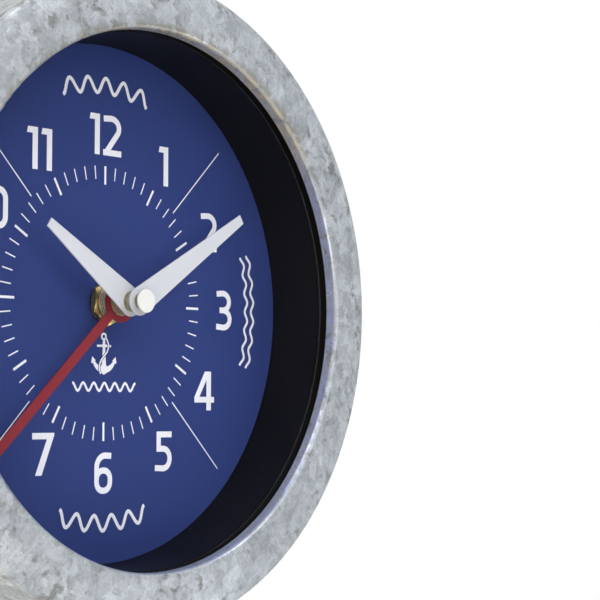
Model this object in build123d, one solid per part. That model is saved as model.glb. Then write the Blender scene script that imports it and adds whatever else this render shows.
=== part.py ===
from build123d import *

import os
from math import cos, floor, pi, radians, sin, sqrt, tan

# Wall tide clock: a galvanised drum with a domed bezel, a flat glass, a printed dial and a quartz
# movement that turns a minute hand, an hour hand and a tide hand through gears.
# Lengths are millimetres and angles are degrees.
# Pieces are drawn as the reader sees the clock: x to the right, y up and z out of the wall, with
# z = 0 on the wall. stand_up() then turns them, so that the part has +Z up and its dial faces -Y.

# Running fits, gaps and press depths
running_fit = 0.08
slip_fit = 0.1
thread_fit = 0.03
level_gap = 0.6
loose_gap = 0.3

# Movement and dial, from the wall forwards
movement_recess = 3.5
movement_depth = 19.0
gasket_washer_thickness = 0.5
gasket_washer_radius = 10.0
dial_thickness = 1.0
dial_rim = 9.5

# Tubes and post on the clock's axis, from the middle outwards
arbor_radius = 1.6
hour_tube_wall = 0.92
tide_tube_wall = 1.12
bush_wall = 2.02
bush_flange_width = 1.2
bush_flange_thickness = 0.8

# Nut and washer on the dial
washer_thickness = 0.5
washer_radius = 6.9
nut_height = 2.8
nut_across_flats = 14.0
nut_chamfer = 0.75
nut_turn = 6.0
bush_beyond_nut = 3.1

# Hands, with lengths as shares of the visible dial's radius
hand_thickness = 0.5
tide_hand_gap = 1.2
tide_hand_share = 0.8583
tide_hand_width = 3.5
tide_hub_radius = 6.9
tide_collar_wall = 0.5
tide_collar_length = 3.5
tide_hand_angle = 227.3
hour_hand_gap = 0.8
hour_hand_share = 0.5014
hour_hub_radius = 5.0
hour_tip_width = 3.2
hour_collar_wall = 0.5
hour_collar_length = 3.3
hour_hand_angle = 303.0
minute_hand_gap = 0.5
minute_hand_share = 0.6798
minute_hub_radius = 4.8
minute_tip_width = 3.4
minute_collar_wall = 0.7
minute_collar_length = 2.4
minute_hand_angle = 58.3
collar_flange_width = 0.4
collar_flange_thickness = 0.3
tube_seat = 0.8
cap_radius = 4.0
cap_thickness = 0.7
cap_edge = 0.15
cap_pin_radius = 1.0
cap_pin_length = 0.6

# Inner wall, glass and gasket
ring_width = 20.65
wall_draft = 3.4
wall_thickness = 1.6
lens_gap = 1.6
lens_thickness = 2.5
lens_bite = 3.5
gasket_leg = 0.6
gasket_web = 1.0
gasket_setback = 0.3
rim_thickness = 1.4
flange_thickness = 1.6
foot_thickness = 1.6
rib_count = 8
rib_thickness = 1.2
screw_count = 4
screw_first_angle = 67.5
screw_inset = 3.5
screw_radius = 1.25
screw_head_radius = 2.4
screw_head_height = 1.4
screw_length = 7.0
screw_boss_radius = 3.0
screw_boss_height = 8.0

# Bezel
bezel_sheet = 0.8
bezel_radius = 109.2
bezel_lip_setback = 0.2
bezel_lip_height = 3.0
bezel_roll_radius = 1.7
bezel_crown_radius = 57.0
bezel_bead_radius = 1.5
bezel_return = 0.7
bezel_tab_count = 6
bezel_tab_width = 9.0
bezel_tab_reach = 2.6
bezel_skirt_below_tab = 1.5

# Drum
drum_sheet = 0.8
drum_corner_radius = 4.0
drum_front_gap = 0.5
access_margin = 4.5
access_corner_radius = 6.0

# Hanger
hanger_inset = 35.9
hanger_width = 36.0
hanger_length = 34.0
hanger_thickness = 1.5
hanger_corner_radius = 3.0
keyhole_radius = 4.5
keyhole_slot_width = 4.8
keyhole_travel = 9.0
keyhole_drop = 3.0
drum_slot_margin = 2.0
rivet_radius = 1.5
rivet_head_radius = 2.7
rivet_head_height = 0.9
rivet_spacing = 26.0

# Movement case
case_end_gap = 0.95
case_top = 24.0
case_bottom = 34.5
case_wall = 1.4
case_plate = 1.5
case_corner_radius = 3.0
case_front_share = 9.0
post_radius = 0.8
boss_wall = 0.8

# Gears: straight flanked teeth with backlash, in modules
gear_width = 1.0
addendum = 0.9
dedendum = 1.2
tooth_share = 0.40
flank_angle = 16.0
motion_module = 0.375
cannon_teeth = 12
motion_wheel_teeth = 36
motion_pinion_teeth = 12
hour_wheel_teeth = 48
time_knob_teeth = 12
tide_drive_module = 0.45
tide_drive_teeth = 20
transfer_wheel_teeth = 23
transfer_pinion_teeth = 15
tide_wheel_teeth = 27
tide_knob_teeth = 16
drive_gear_module = 0.3
center_wheel_teeth = 48
drive_pinion_teeth = 12
motion_direction = 150.0
transfer_direction = 30.0
drive_direction = 270.0
arbor_pivot_radius = 0.8
arbor_pivot_length = 3.0

# Setting knobs
knob_thickness = 2.4
time_knob_radius = 5.2
tide_knob_radius = 4.2
knob_shaft_radius = 1.0
knob_pivot_radius = 0.7
knob_flute_count = 16
knob_flute_depth = 0.35

# Drive and electrics
drive_width = 19.0
drive_length = 11.6
drive_clearance = 0.6
drive_shaft_radius = 0.5
drive_shaft_depth = 2.5
coil_radius = 3.2
coil_flange_radius = 4.2
coil_flange_thickness = 1.0
coil_end_gap = 3.0
coil_core_side = 2.0
board_end_gap = 2.0
board_length = 11.0
board_thickness = 1.0
board_peg_radius = 1.2
board_peg_height = 2.0
crystal_radius = 1.0
crystal_length = 6.0
battery_radius = 7.1
battery_length = 50.4
battery_nub_radius = 2.6
battery_nub_length = 1.2
battery_edge = 0.6
bay_side_gap = 0.3
bay_wall = 1.0
bay_depth_gap = 0.6
contact_thickness = 0.4
contact_width = 9.0
contact_bow = 0.5

# Levels in front of the wall, worked out from the stack
case_back = movement_recess
case_front = case_back + movement_depth
dial_back = case_front + gasket_washer_thickness
dial_front = dial_back + dial_thickness
nut_back = dial_front + washer_thickness
nut_front = nut_back + nut_height
bush_end = nut_front + bush_beyond_nut
tide_hand_back = bush_end + tide_hand_gap
tide_hand_front = tide_hand_back + hand_thickness
tide_collar_end = tide_hand_front + tide_collar_length
hour_hand_back = tide_collar_end + hour_hand_gap
hour_hand_front = hour_hand_back + hand_thickness
hour_collar_end = hour_hand_front + hour_collar_length
minute_hand_back = hour_collar_end + minute_hand_gap
minute_hand_front = minute_hand_back + hand_thickness
minute_collar_end = minute_hand_front + minute_collar_length
cap_front = minute_collar_end + cap_thickness
lens_back = cap_front + lens_gap
lens_front = lens_back + lens_thickness
lip_level = lens_front + gasket_leg
ledge_level = lens_back - gasket_leg
flange_back = ledge_level - flange_thickness

# Levels inside the movement, from its front plate backwards
plate_back = case_front - case_plate
tide_level = plate_back - bush_flange_thickness - level_gap - gear_width
tide_drive_level = tide_level - level_gap - gear_width
hour_level = tide_drive_level - level_gap - gear_width
motion_level = hour_level - level_gap - gear_width
center_level = motion_level - level_gap - gear_width
case_split = case_front - case_front_share
floor_level = case_back + case_plate
drive_top = center_level - level_gap
knob_front = case_back - loose_gap
knob_back = knob_front - knob_thickness

# Radii worked out from the tubes and the wall
hour_tube_bore = arbor_radius + running_fit
hour_tube_radius = hour_tube_bore + hour_tube_wall
tide_tube_bore = hour_tube_radius + running_fit
tide_tube_radius = tide_tube_bore + tide_tube_wall
bush_bore = tide_tube_radius + running_fit
bush_radius = bush_bore + bush_wall
bush_flange_radius = bush_radius + bush_flange_width
tide_collar_radius = tide_tube_radius + tide_collar_wall
hour_collar_radius = hour_tube_radius + hour_collar_wall
minute_collar_radius = arbor_radius + minute_collar_wall
dial_view_radius = bezel_radius - ring_width
tide_hand_length = tide_hand_share * dial_view_radius
hour_hand_length = hour_hand_share * dial_view_radius
minute_hand_length = minute_hand_share * dial_view_radius
wall_slope = tan(radians(wall_draft))
wall_top_radius = dial_view_radius + (ledge_level - dial_front) * wall_slope
lip_radius = wall_top_radius + bezel_lip_setback
lens_radius = lip_radius + lens_bite
gasket_radius = lens_radius + gasket_web
rim_radius = gasket_radius + slip_fit
rim_outer_radius = rim_radius + rim_thickness
dial_radius = dial_view_radius + dial_rim
screw_circle = dial_radius - screw_inset

# Bezel section: the outer bead touches the crown from inside
roll_level = lip_level + bezel_lip_height
bezel_top = roll_level + bezel_roll_radius
crown_center_radius = lip_radius + bezel_roll_radius
crown_center_level = bezel_top - bezel_crown_radius
bead_center_radius = bezel_radius - bezel_bead_radius
bead_reach = bezel_crown_radius - bezel_bead_radius
bead_offset = bead_center_radius - crown_center_radius
bead_center_level = crown_center_level + sqrt(bead_reach**2 - bead_offset**2)
bead_bottom = bead_center_level - bezel_bead_radius
skirt_radius = bead_center_radius - bezel_return
skirt_inner_radius = skirt_radius - bezel_sheet
skirt_end = flange_back - bezel_sheet - bezel_skirt_below_tab
flange_radius = skirt_inner_radius - slip_fit
drum_bore = skirt_radius + slip_fit
drum_radius = drum_bore + drum_sheet
drum_front = bead_bottom - drum_front_gap
hanger_height = drum_radius - hanger_inset

# Gear centres, from the clock's axis
motion_teeth_sum = cannon_teeth + motion_wheel_teeth
hour_teeth_sum = motion_pinion_teeth + hour_wheel_teeth
hour_module = motion_module * motion_teeth_sum / hour_teeth_sum
drive_teeth_sum = tide_drive_teeth + transfer_wheel_teeth
tide_teeth_sum = transfer_pinion_teeth + tide_wheel_teeth
tide_module = tide_drive_module * drive_teeth_sum / tide_teeth_sum


def polar(radius, direction, start=(0, 0)):
    """Point at a distance and direction from a start point."""
    angle = radians(direction)
    return (start[0] + radius * cos(angle), start[1] + radius * sin(angle))


def center_distance(module, first, second):
    """Distance between the axes of two meshed gears."""
    return module * (first + second) / 2


motion_axis = polar(center_distance(motion_module, cannon_teeth, motion_wheel_teeth), motion_direction)
time_knob_axis = polar(
    center_distance(motion_module, motion_wheel_teeth, time_knob_teeth), motion_direction, motion_axis
)
transfer_axis = polar(
    center_distance(tide_drive_module, tide_drive_teeth, transfer_wheel_teeth), transfer_direction
)
tide_knob_axis = polar(
    center_distance(tide_module, transfer_pinion_teeth, tide_knob_teeth), transfer_direction, transfer_axis
)
drive_axis = polar(
    center_distance(drive_gear_module, center_wheel_teeth, drive_pinion_teeth), drive_direction
)

# Battery bay in the lower part of the movement
bay_half_height = battery_radius + bay_side_gap
bay_half_length = battery_length / 2 + bay_side_gap + contact_thickness + contact_bow / 2
battery_height = -case_bottom + case_wall + slip_fit + bay_wall + bay_half_height
battery_level = case_back + bay_depth_gap + battery_radius
bay_floor = battery_level + battery_radius + bay_side_gap
bay_block_front = bay_floor + bay_wall
bay_top = battery_height + bay_half_height + bay_wall
cavity_top = case_top - case_wall
inner_half_width = bay_half_length + case_end_gap
case_width = 2 * (inner_half_width + case_wall)
drive_side_room = inner_half_width - drive_width / 2 - drive_clearance
coil_length = drive_side_room - coil_end_gap
board_width = drive_side_room - board_end_gap


def stand_up(piece):
    """Turns a piece from the reader's plane to the upright part."""
    return Plane(origin=(0, 0, 0), x_dir=(1, 0, 0), z_dir=(0, -1, 0)).location * piece


def disc(radius, back, front, at=(0, 0)):
    """Round solid between two levels."""
    return Pos(at[0], at[1], back) * extrude(Circle(radius), front - back)


def ring(outer, inner, back, front, at=(0, 0)):
    """Round solid with a bore, between two levels."""
    return Pos(at[0], at[1], back) * extrude(Circle(outer) - Circle(inner), front - back)


def block(left, right, bottom, top, back, front):
    """Box between six limits."""
    size = (right - left, top - bottom, front - back)
    return Pos(left, bottom, back) * Box(*size, align=(Align.MIN, Align.MIN, Align.MIN))


def plate(width, bottom, top, corner, back, front):
    """Box with rounded upright corners, centred on x."""
    outline = RectangleRounded(width, top - bottom, corner)
    return Pos(0, (top + bottom) / 2, back) * extrude(outline, front - back)


def turned(*edges):
    """Solid of revolution about the clock's axis from a closed section of radius and level."""
    section = Curve() + list(edges)
    return revolve(Plane.XZ * make_face(section), Axis.Z)


def turned_polygon(*points):
    """Solid of revolution about the clock's axis from straight lines."""
    return revolve(Plane.XZ * Polygon(*points, align=None), Axis.Z)


def clock_hand_location(angle):
    """Turns +Y to a clock angle, counted clockwise from the top."""
    return Rot(0, 0, -angle)


def gear_outline(teeth, module, phase):
    """Spur gear outline whose first tooth points along phase."""
    pitch_radius = teeth * module / 2
    slope = tan(radians(flank_angle))
    half = tooth_share * pi * module / 2
    tip = pitch_radius + addendum * module
    root = pitch_radius - dedendum * module
    tip_half = (half - addendum * module * slope) / tip
    root_half = (half + dedendum * module * slope) / root
    points = []
    for tooth in range(teeth):
        middle = radians(phase) + 2 * pi * tooth / teeth
        for radius, offset in ((root, -root_half), (tip, -tip_half), (tip, tip_half), (root, root_half)):
            points.append((radius * cos(middle + offset), radius * sin(middle + offset)))
    return Polygon(*points, align=None)


def gear(teeth, module, level, at=(0, 0), phase=0.0):
    """Spur gear of the common width, from level forwards."""
    return Pos(at[0], at[1], level) * extrude(gear_outline(teeth, module, phase), gear_width)


def meshed_phase(first_teeth, second_teeth, direction, first_phase=0.0):
    """Phase of the second gear, so that its gap meets the first gear's tooth."""
    turns = (direction - first_phase) * first_teeth / 360
    share = turns - floor(turns)
    return direction + 180 - 360 / second_teeth * (0.5 - share)


def bezel_ring():
    """Domed ring: straight lip, roll, crown, outer bead, then a skirt with tabs that plugs into the drum."""
    sheet = bezel_sheet
    lip_outer = (lip_radius, lip_level)
    lip_inner = (lip_radius + sheet, lip_level)
    roll_outer = (lip_radius, roll_level)
    roll_inner = (lip_radius + sheet, roll_level)
    slope = (bead_offset / bead_reach, (bead_center_level - crown_center_level) / bead_reach)

    def on_crown(depth):
        reach = bezel_crown_radius - depth
        return (crown_center_radius + reach * slope[0], crown_center_level + reach * slope[1])

    def on_crown_middle(depth):
        reach = bezel_crown_radius - depth
        half = (slope[0] / 2, sqrt(1 - (slope[0] / 2) ** 2))
        return (crown_center_radius + reach * half[0], crown_center_level + reach * half[1])

    def on_roll(depth):
        reach = (bezel_roll_radius - depth) * sqrt(0.5)
        return (crown_center_radius - reach, roll_level + reach)

    def bead_middle(depth):
        return (bead_center_radius + bezel_bead_radius - depth, bead_center_level)

    def bead_end(depth):
        return (bead_center_radius, bead_bottom + depth)

    crown_start = (crown_center_radius, bezel_top)
    crown_start_inner = (crown_center_radius, bezel_top - sheet)
    corner_outer = (skirt_radius, bead_bottom)
    corner_inner = (skirt_inner_radius, bead_bottom + sheet)
    end_outer = (skirt_radius, skirt_end)
    end_inner = (skirt_inner_radius, skirt_end)
    body = turned(
        Line(lip_outer, roll_outer),
        ThreePointArc(roll_outer, on_roll(0), crown_start),
        ThreePointArc(crown_start, on_crown_middle(0), on_crown(0)),
        ThreePointArc(on_crown(0), bead_middle(0), bead_end(0)),
        Line(bead_end(0), corner_outer),
        Line(corner_outer, end_outer),
        Line(end_outer, end_inner),
        Line(end_inner, corner_inner),
        Line(corner_inner, bead_end(sheet)),
        ThreePointArc(bead_end(sheet), bead_middle(sheet), on_crown(sheet)),
        ThreePointArc(on_crown(sheet), on_crown_middle(sheet), crown_start_inner),
        ThreePointArc(crown_start_inner, on_roll(sheet), roll_inner),
        Line(roll_inner, lip_inner),
        Line(lip_inner, lip_outer),
    )
    tab_inner = skirt_inner_radius - bezel_tab_reach
    tab_middle = skirt_inner_radius + sheet / 2
    for index in range(bezel_tab_count):
        tab = block(
            tab_inner, tab_middle, -bezel_tab_width / 2, bezel_tab_width / 2, flange_back - sheet, flange_back
        )
        body += Rot(0, 0, 360 / bezel_tab_count * index) * tab
    return body


def drum_case():
    """Pressed pan: side wall, rounded back corner, flat back with access opening and hanger slot."""
    corner = drum_corner_radius
    inner = corner - drum_sheet
    bend = (drum_radius - corner, corner)
    outer_bend = (bend[0] + corner * sqrt(0.5), bend[1] - corner * sqrt(0.5))
    inner_bend = (bend[0] + inner * sqrt(0.5), bend[1] - inner * sqrt(0.5))
    body = turned(
        Line((0, 0), (bend[0], 0)),
        ThreePointArc((bend[0], 0), outer_bend, (drum_radius, corner)),
        Line((drum_radius, corner), (drum_radius, drum_front)),
        Line((drum_radius, drum_front), (drum_bore, drum_front)),
        Line((drum_bore, drum_front), (drum_bore, corner)),
        ThreePointArc((drum_bore, corner), inner_bend, (bend[0], drum_sheet)),
        Line((bend[0], drum_sheet), (0, drum_sheet)),
        Line((0, drum_sheet), (0, 0)),
    )
    body -= plate(
        case_width + 2 * access_margin,
        -case_bottom - access_margin,
        case_top + access_margin,
        access_corner_radius,
        0,
        drum_sheet,
    )
    slot_half = keyhole_radius + drum_slot_margin
    slot = SlotCenterToCenter(keyhole_travel, 2 * slot_half, rotation=90)
    body -= Pos(0, hanger_height - keyhole_drop + keyhole_travel / 2, 0) * extrude(slot, drum_sheet)
    for side in (-1, 1):
        body -= disc(rivet_radius, 0, drum_sheet, (side * rivet_spacing / 2, hanger_height))
    return body


def hanger_plate():
    """Keyhole plate on the inside of the drum's back."""
    front = drum_sheet + hanger_thickness
    half = hanger_length / 2
    body = plate(
        hanger_width, hanger_height - half, hanger_height + half, hanger_corner_radius, drum_sheet, front
    )
    entry = hanger_height - keyhole_drop
    body -= disc(keyhole_radius, drum_sheet, front, (0, entry))
    body -= disc(keyhole_slot_width / 2, drum_sheet, front, (0, entry + keyhole_travel))
    half_slot = keyhole_slot_width / 2
    body -= block(-half_slot, half_slot, entry, entry + keyhole_travel, drum_sheet, front)
    for side in (-1, 1):
        body -= disc(rivet_radius, drum_sheet, front, (side * rivet_spacing / 2, hanger_height))
    return body


def hanger_rivets():
    """Two rivets, flush with the drum's back, headed inside."""
    front = drum_sheet + hanger_thickness
    rivets = []
    for side in (-1, 1):
        at = (side * rivet_spacing / 2, hanger_height)
        shank = disc(rivet_radius, 0, front, at)
        head = disc(rivet_head_radius, front, front + rivet_head_height, at)
        head = chamfer(head.edges().group_by(Axis.Z)[-1], rivet_head_height / 2)
        rivets.append(shank + head)
    return Compound(children=rivets)


def inner_wall_ring():
    """Drafted wall with a foot on the dial, a glass seat, a flange under the bezel, ribs and bosses."""
    foot_front = dial_front + foot_thickness
    wall_outer_foot = dial_view_radius + foot_thickness * wall_slope + wall_thickness
    wall_outer_top = dial_view_radius + (flange_back - dial_front) * wall_slope + wall_thickness
    body = turned_polygon(
        (dial_view_radius, dial_front),
        (dial_radius, dial_front),
        (dial_radius, foot_front),
        (wall_outer_foot, foot_front),
        (wall_outer_top, flange_back),
        (flange_radius, flange_back),
        (flange_radius, ledge_level),
        (rim_outer_radius, ledge_level),
        (rim_outer_radius, lens_front),
        (rim_radius, lens_front),
        (rim_radius, ledge_level),
        (wall_top_radius, ledge_level),
    )
    rib = Polygon(
        (wall_outer_foot - wall_thickness / 2, foot_front),
        (dial_radius, foot_front),
        (wall_outer_top + wall_thickness, flange_back),
        (wall_outer_top - wall_thickness / 2, flange_back),
        align=None,
    )
    rib_solid = extrude(Plane.XZ * rib, rib_thickness / 2, both=True)
    for index in range(rib_count):
        body += Rot(0, 0, 360 / rib_count * index) * rib_solid
    for angle in screw_angles():
        at = polar(screw_circle, angle)
        body += disc(screw_boss_radius, foot_front, dial_front + screw_boss_height, at)
        body -= disc(screw_radius + thread_fit, dial_front, dial_front + screw_length, at)
    return body


def screw_angles():
    """Directions of the dial screws."""
    return [screw_first_angle + 360 / screw_count * index for index in range(screw_count)]


def lens():
    """Flat glass with ground edges."""
    glass = disc(lens_radius, lens_back, lens_front)
    return chamfer(glass.edges(), gasket_leg / 2)


def lens_gasket():
    """Rubber channel round the edge of the glass."""
    web = ring(gasket_radius, lens_radius, lens_back, lens_front)
    front_leg = ring(gasket_radius, lip_radius + gasket_setback, lens_front, lip_level)
    back_leg = ring(gasket_radius, wall_top_radius + gasket_setback, ledge_level, lens_back)
    return web + front_leg + back_leg


def dial_plate():
    """Plain disc with the bush hole and the screw holes."""
    body = ring(dial_radius, bush_radius + slip_fit, dial_back, dial_front)
    for angle in screw_angles():
        body -= disc(screw_radius + slip_fit, dial_back, dial_front, polar(screw_circle, angle))
    return body


def dial_screws():
    """Screws from behind the dial into the bosses of the inner wall."""
    screws = []
    for angle in screw_angles():
        at = polar(screw_circle, angle)
        head = disc(screw_head_radius, dial_back - screw_head_height, dial_back, at)
        head = chamfer(head.edges().group_by(Axis.Z)[0], screw_head_height / 2)
        shank = disc(screw_radius, dial_back, dial_front + screw_length, at)
        screws.append(head + shank)
    return Compound(children=screws)


def gasket_washer():
    """Rubber washer between the dial and the movement."""
    return ring(gasket_washer_radius, bush_radius + slip_fit, case_front, dial_back)


def dial_washer():
    """Washer under the nut."""
    return ring(washer_radius, bush_radius + slip_fit, dial_front, nut_back)


def bush_nut():
    """Hexagon nut with both ends of its corners turned off."""
    flats = RegularPolygon(nut_across_flats / 2, 6, major_radius=False, rotation=90 - nut_turn)
    corner_radius = nut_across_flats / sqrt(3)
    body = Pos(0, 0, nut_back) * extrude(flats, nut_height)
    cone = chamfer(disc(corner_radius, nut_back, nut_front).edges(), nut_chamfer, 2 * nut_chamfer)
    return (body & cone) - disc(bush_radius, nut_back, nut_front)


def center_bush():
    """Brass post with a flange inside the movement."""
    body = disc(bush_flange_radius, plate_back - bush_flange_thickness, plate_back)
    body += disc(bush_radius, plate_back, bush_end)
    return body - disc(bush_bore, plate_back - bush_flange_thickness, bush_end)


def hand_collar(collar_radius, tube_radius, back, hand_front, tube_end, bore, end):
    """Brass collar pressed in a hand: seat for the tube, flange on the hand, then a sleeve."""
    body = disc(collar_radius, back, end)
    body += disc(collar_radius + collar_flange_width, hand_front, hand_front + collar_flange_thickness)
    body -= disc(tube_radius, back, tube_end)
    return body - disc(bore, tube_end, end)


def tide_hand_bush():
    """Collar of the tide hand, on the tide tube and clear of the hour tube."""
    return hand_collar(
        tide_collar_radius,
        tide_tube_radius,
        tide_hand_back,
        tide_hand_front,
        tide_hand_front + tube_seat,
        tide_tube_bore,
        tide_collar_end,
    )


def hour_hand_bush():
    """Collar of the hour hand, on the hour tube and clear of the arbor."""
    return hand_collar(
        hour_collar_radius,
        hour_tube_radius,
        hour_hand_back,
        hour_hand_front,
        hour_hand_front + tube_seat,
        hour_tube_bore,
        hour_collar_end,
    )


def minute_hand_bush():
    """Collar of the minute hand, on the end of the arbor."""
    return hand_collar(
        minute_collar_radius,
        arbor_radius,
        minute_hand_back,
        minute_hand_front,
        minute_hand_front + tube_seat,
        cap_pin_radius,
        minute_collar_end,
    )


def tapered_hand(hub_radius, length, tip_width, hole_radius, back, angle):
    """Hand that narrows straight from a round hub to a blunt tip."""
    blade = Polygon(
        (-hub_radius, 0), (hub_radius, 0), (tip_width / 2, length), (-tip_width / 2, length), align=None
    )
    outline = Circle(hub_radius) + blade - Circle(hole_radius)
    return Pos(0, 0, back) * clock_hand_location(angle) * extrude(outline, hand_thickness)


def minute_hand():
    """White minute hand."""
    return tapered_hand(
        minute_hub_radius,
        minute_hand_length,
        minute_tip_width,
        minute_collar_radius,
        minute_hand_back,
        minute_hand_angle,
    )


def hour_hand():
    """White hour hand."""
    return tapered_hand(
        hour_hub_radius, hour_hand_length, hour_tip_width, hour_collar_radius, hour_hand_back, hour_hand_angle
    )


def tide_hand():
    """Red bar with a ring hub."""
    half = tide_hand_width / 2
    bar = Polygon((-half, 0), (half, 0), (half, tide_hand_length), (-half, tide_hand_length), align=None)
    outline = Circle(tide_hub_radius) + bar - Circle(tide_collar_radius)
    return Pos(0, 0, tide_hand_back) * clock_hand_location(tide_hand_angle) * extrude(outline, hand_thickness)


def hand_cap():
    """Round cap with a pin in the minute collar."""
    head = disc(cap_radius, minute_collar_end, cap_front)
    head = chamfer(head.edges().group_by(Axis.Z)[-1], cap_edge)
    return head + disc(cap_pin_radius, minute_collar_end - cap_pin_length, minute_collar_end)


def minute_arbor():
    """Centre wheel, cannon pinion and shaft in one piece."""
    body = gear(center_wheel_teeth, drive_gear_module, center_level)
    body += disc(arbor_radius, center_level - level_gap, minute_hand_front + tube_seat)
    body += gear(cannon_teeth, motion_module, motion_level)
    pivot_front = center_level - level_gap
    return body + disc(arbor_pivot_radius, pivot_front - arbor_pivot_length, pivot_front)


def hour_wheel():
    """Hour tube with the hour gear and the gear that drives the tide train."""
    body = disc(hour_tube_radius, hour_level, hour_hand_front + tube_seat)
    body += gear(hour_wheel_teeth, hour_module, hour_level, (0, 0), hour_phase)
    body += gear(tide_drive_teeth, tide_drive_module, tide_drive_level)
    return body - disc(hour_tube_bore, hour_level, hour_hand_front + tube_seat)


def tide_wheel():
    """Tide tube with its gear."""
    body = disc(tide_tube_radius, tide_level, tide_hand_front + tube_seat)
    body += gear(tide_wheel_teeth, tide_module, tide_level, (0, 0), tide_phase)
    return body - disc(tide_tube_bore, tide_level, tide_hand_front + tube_seat)


def motion_wheel():
    """Wheel turned by the cannon pinion, with the pinion that turns the hour wheel."""
    phase = meshed_phase(cannon_teeth, motion_wheel_teeth, motion_direction)
    body = gear(motion_wheel_teeth, motion_module, motion_level, motion_axis, phase)
    pinion_root = hour_module * (motion_pinion_teeth / 2 - dedendum)
    body += disc(pinion_root, motion_level, hour_level + gear_width, motion_axis)
    body += gear(motion_pinion_teeth, hour_module, hour_level, motion_axis)
    return body - disc(post_radius + running_fit, motion_level, hour_level + gear_width, motion_axis)


def tide_transfer_wheel():
    """Wheel turned by the hour wheel, with the pinion that turns the tide wheel."""
    phase = meshed_phase(tide_drive_teeth, transfer_wheel_teeth, transfer_direction)
    body = gear(transfer_wheel_teeth, tide_drive_module, tide_drive_level, transfer_axis, phase)
    pinion_root = tide_module * (transfer_pinion_teeth / 2 - dedendum)
    body += disc(pinion_root, tide_drive_level, tide_level + gear_width, transfer_axis)
    body += gear(transfer_pinion_teeth, tide_module, tide_level, transfer_axis)
    return body - disc(post_radius + running_fit, tide_drive_level, tide_level + gear_width, transfer_axis)


hour_phase = meshed_phase(motion_pinion_teeth, hour_wheel_teeth, motion_direction + 180)
tide_phase = meshed_phase(transfer_pinion_teeth, tide_wheel_teeth, transfer_direction + 180)


def fluted_outline(radius):
    """Round outline with flat flutes for the fingers."""
    step = 360 / knob_flute_count
    valley = radius - knob_flute_depth
    points = []
    for flute in range(knob_flute_count):
        for share, reach in ((0.0, radius), (0.4, radius), (0.55, valley), (0.85, valley)):
            points.append(polar(reach, step * (flute + share)))
    return Polygon(*points, align=None)


def setting_knob(radius, at, teeth, module, level, phase):
    """Fluted knob behind the case, shaft, pinion and front pivot."""
    body = Pos(at[0], at[1], knob_back) * extrude(fluted_outline(radius), knob_thickness)
    body += disc(knob_shaft_radius, knob_front, level, at)
    body += gear(teeth, module, level, at, phase)
    return body + disc(knob_pivot_radius, level + gear_width, knob_pivot_end(level), at)


def knob_pivot_end(level):
    """Front end of a knob's pivot, in its boss on the front plate."""
    return level + gear_width + level_gap + case_plate / 2


def time_setting_knob():
    """Knob that turns the motion wheel."""
    wheel_phase = meshed_phase(cannon_teeth, motion_wheel_teeth, motion_direction)
    phase = meshed_phase(motion_wheel_teeth, time_knob_teeth, motion_direction, wheel_phase)
    return setting_knob(time_knob_radius, time_knob_axis, time_knob_teeth, motion_module, motion_level, phase)


def tide_setting_knob():
    """Knob that turns the tide transfer pinion."""
    phase = meshed_phase(transfer_pinion_teeth, tide_knob_teeth, transfer_direction)
    return setting_knob(tide_knob_radius, tide_knob_axis, tide_knob_teeth, tide_module, tide_level, phase)


def drive_pinion():
    """Output pinion of the step motor, in mesh with the centre wheel."""
    phase = meshed_phase(center_wheel_teeth, drive_pinion_teeth, drive_direction)
    body = gear(drive_pinion_teeth, drive_gear_module, center_level, drive_axis, phase)
    return body + disc(drive_shaft_radius, drive_top - drive_shaft_depth, center_level, drive_axis)


def drive_module():
    """Closed step motor with its reduction, and the bearing of its output."""
    low = drive_axis[1] - drive_length / 2
    high = drive_axis[1] + drive_length / 2
    body = block(-drive_width / 2, drive_width / 2, low, high, floor_level, drive_top)
    body = fillet(body.edges().filter_by(Axis.Z), case_wall)
    return body - disc(
        drive_shaft_radius + running_fit, drive_top - drive_shaft_depth - loose_gap, drive_top, drive_axis
    )


def along_x(radius, left, right, height, level):
    """Round solid that lies along x."""
    return Pos(left, height, level) * Rot(0, 90, 0) * extrude(Circle(radius), right - left)


def drive_coil():
    """Bobbin with its winding, on the core that enters the step motor."""
    right = -drive_width / 2 - drive_clearance
    left = right - coil_length
    height = drive_axis[1]
    level = floor_level + coil_flange_radius
    body = along_x(coil_radius, left, right, height, level)
    body += along_x(coil_flange_radius, left, left + coil_flange_thickness, height, level)
    body += along_x(coil_flange_radius, right - coil_flange_thickness, right, height, level)
    half = coil_core_side / 2
    return body + block(right, -drive_width / 2, height - half, height + half, level - half, level + half)


board_left = drive_width / 2 + drive_clearance
board_middle = drive_axis[1]
board_back = floor_level + board_peg_height


def circuit_board():
    """Small printed board on pegs."""
    body = block(
        board_left,
        board_left + board_width,
        board_middle - board_length / 2,
        board_middle + board_length / 2,
        board_back,
        board_back + board_thickness,
    )
    for at in board_pegs():
        body -= disc(board_peg_radius / 2 + slip_fit, board_back, board_back + board_thickness, at)
    return body


def board_pegs():
    """Places of the two pegs that carry the board."""
    middle = board_left + board_width / 2
    reach = board_width / 2 - 2 * board_peg_radius
    return ((middle - reach, board_middle), (middle + reach, board_middle))


def quartz_crystal():
    """Small can on the board."""
    middle = board_left + board_width / 2
    half = crystal_length / 2
    height = board_middle + board_length / 2 - 2 * crystal_radius
    level = board_back + board_thickness + crystal_radius
    return along_x(crystal_radius, middle - half, middle + half, height, level)


def movement_outline(back, front):
    """Outer block of the movement between two levels."""
    return plate(case_width, -case_bottom, case_top, case_corner_radius, back, front)


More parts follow.
